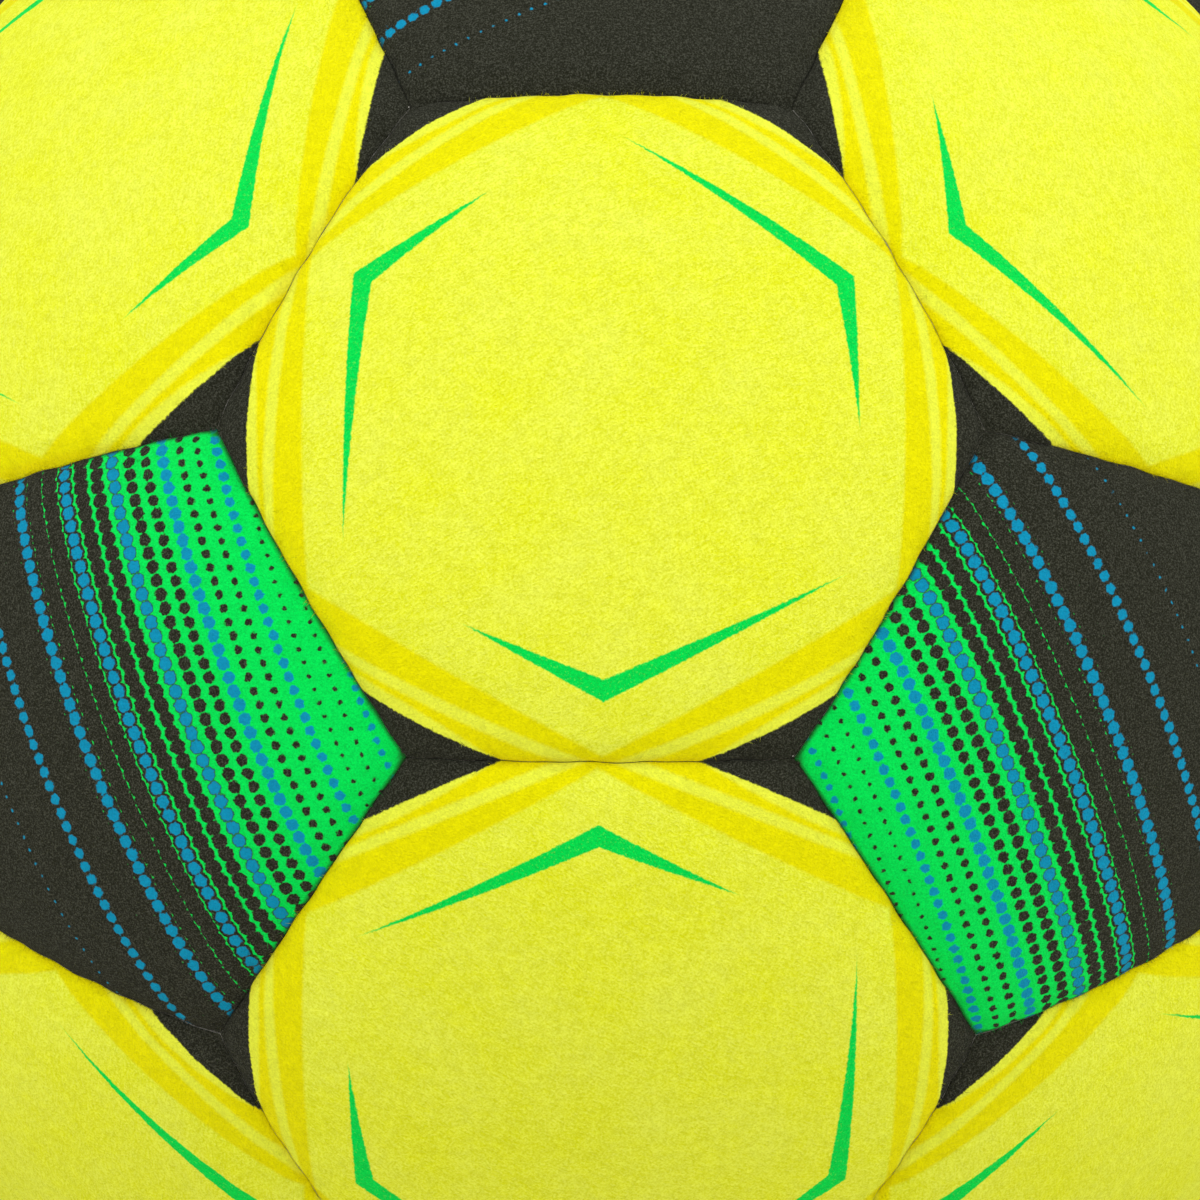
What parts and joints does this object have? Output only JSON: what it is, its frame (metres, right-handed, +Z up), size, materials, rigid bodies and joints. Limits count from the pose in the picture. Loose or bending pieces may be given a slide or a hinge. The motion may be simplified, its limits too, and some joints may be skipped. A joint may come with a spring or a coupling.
{
  "type": "indoor soccer ball",
  "caption": "Round felt-covered indoor soccer ball of stitched hexagon and pentagon panels over foam, lining and a rubber bladder, with a replaceable valve plug.",
  "frame": {"origin": "centre of the ball", "axes": "+Z up, with the middle of a seam between two hexagons facing -Y; the valve is in the hexagon 21 degrees from +Z towards -X"},
  "size_m": [0.219, 0.219, 0.219],
  "materials": {
    "hexagon_felt": "brushed felt",
    "pentagon_felt": "brushed felt",
    "foam": "foam",
    "lining": "woven",
    "thread": "waxed",
    "bladder": "satin",
    "patch": "matt",
    "valve_rubber": "matt",
    "plug_rubber": "satin"
  },
  "bodies": {
    "ball": {"hexagon_felt_01": "hexagon_felt", "hexagon_felt_02": "hexagon_felt", "hexagon_felt_03": "hexagon_felt", "hexagon_felt_04": "hexagon_felt", "hexagon_felt_05": "hexagon_felt", "hexagon_felt_06": "hexagon_felt", "hexagon_felt_07": "hexagon_felt", "hexagon_felt_08": "hexagon_felt", "hexagon_felt_09": "hexagon_felt", "hexagon_felt_10": "hexagon_felt", "hexagon_felt_11": "hexagon_felt", "hexagon_felt_12": "hexagon_felt", "hexagon_felt_13": "hexagon_felt", "hexagon_felt_14": "hexagon_felt", "hexagon_felt_15": "hexagon_felt", "hexagon_felt_16": "hexagon_felt", "hexagon_felt_17": "hexagon_felt", "hexagon_felt_18": "hexagon_felt", "hexagon_felt_19": "hexagon_felt", "hexagon_felt_20": "hexagon_felt", "pentagon_felt_01": "pentagon_felt", "pentagon_felt_02": "pentagon_felt", "pentagon_felt_03": "pentagon_felt", "pentagon_felt_04": "pentagon_felt", "pentagon_felt_05": "pentagon_felt", "pentagon_felt_06": "pentagon_felt", "pentagon_felt_07": "pentagon_felt", "pentagon_felt_08": "pentagon_felt", "pentagon_felt_09": "pentagon_felt", "pentagon_felt_10": "pentagon_felt", "pentagon_felt_11": "pentagon_felt", "pentagon_felt_12": "pentagon_felt", "hexagon_foam": "foam", "pentagon_foam": "foam", "hexagon_lining": "lining", "pentagon_lining": "lining", "hexagon_seam_thread": "thread", "pentagon_seam_thread": "thread", "bladder": "bladder", "valve_patch": "patch", "balance_patch": "patch", "valve_body": "valve_rubber"},
    "plug": {"valve_plug": "plug_rubber"}
  },
  "joints": [
    {"name": "plug_pull", "type": "slide", "parent": "ball", "child": "plug", "axis": [-0.3568, 0, 0.9342], "range_m": [0, 0.024]}
  ]
}
